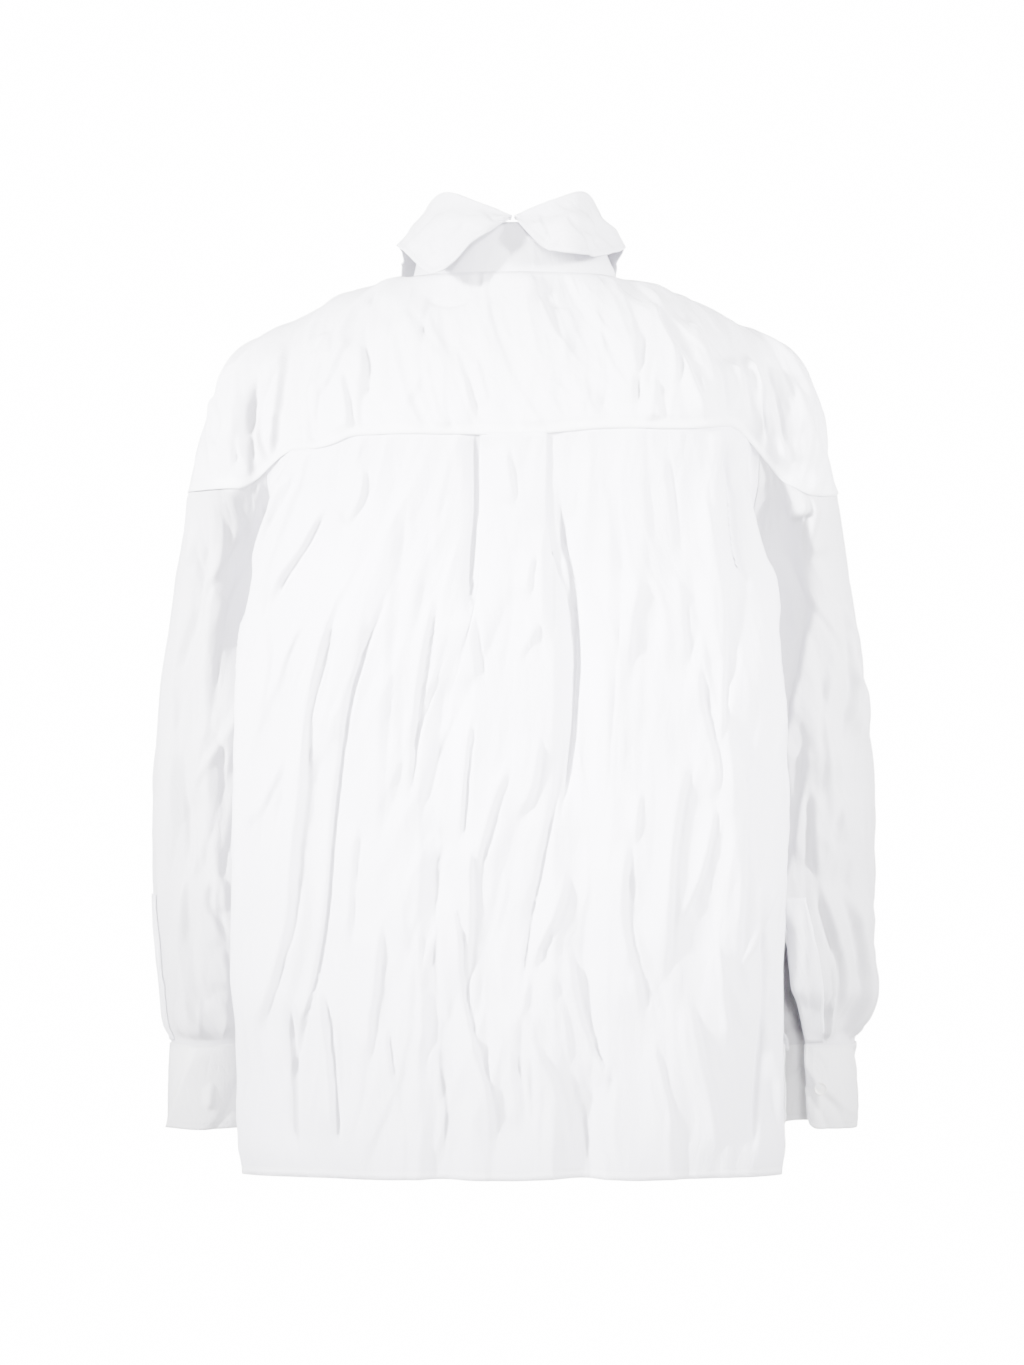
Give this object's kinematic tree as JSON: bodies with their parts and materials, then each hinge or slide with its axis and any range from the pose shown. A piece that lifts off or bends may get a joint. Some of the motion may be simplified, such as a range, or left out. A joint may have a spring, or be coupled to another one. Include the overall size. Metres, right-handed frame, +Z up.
{
  "type": "crumpled shirt",
  "caption": "Crumpled long-sleeved cotton shirt in a worn, hollow pose, with a back yoke, box pleat, split turned-down collar and open hanging cuffs.",
  "frame": {"origin": "centre of the neck opening, level with the seam between the collar and the back yoke: where the wearer's neck passes through and the shoulders carry the shirt", "axes": "+Z up the wearer's spine, +Y towards the wearer's back, -Y towards the front, +X towards the wearer's left arm"},
  "size_m": [0.5787, 0.2391, 0.765],
  "materials": {
    "cotton": "thin matte crinkled woven cotton",
    "button": "off-white satin plastic"
  },
  "bodies": {
    "root": {"yoke": "cotton", "back": "cotton", "front_left": "cotton", "front_right": "cotton", "sleeve_left": "cotton", "sleeve_right": "cotton", "cuff_left": "cotton", "cuff_right": "cotton", "collar_stand": "cotton", "collar_leaf_left": "cotton", "collar_leaf_right": "cotton", "front_placket": "cotton", "sleeve_placket_left": "cotton", "sleeve_placket_right": "cotton", "button_front_1": "button", "button_front_2": "button", "button_front_3": "button", "button_front_4": "button", "button_front_5": "button", "button_front_6": "button", "button_collar": "button", "button_cuff_left": "button", "button_cuff_right": "button"}
  },
  "joints": []
}
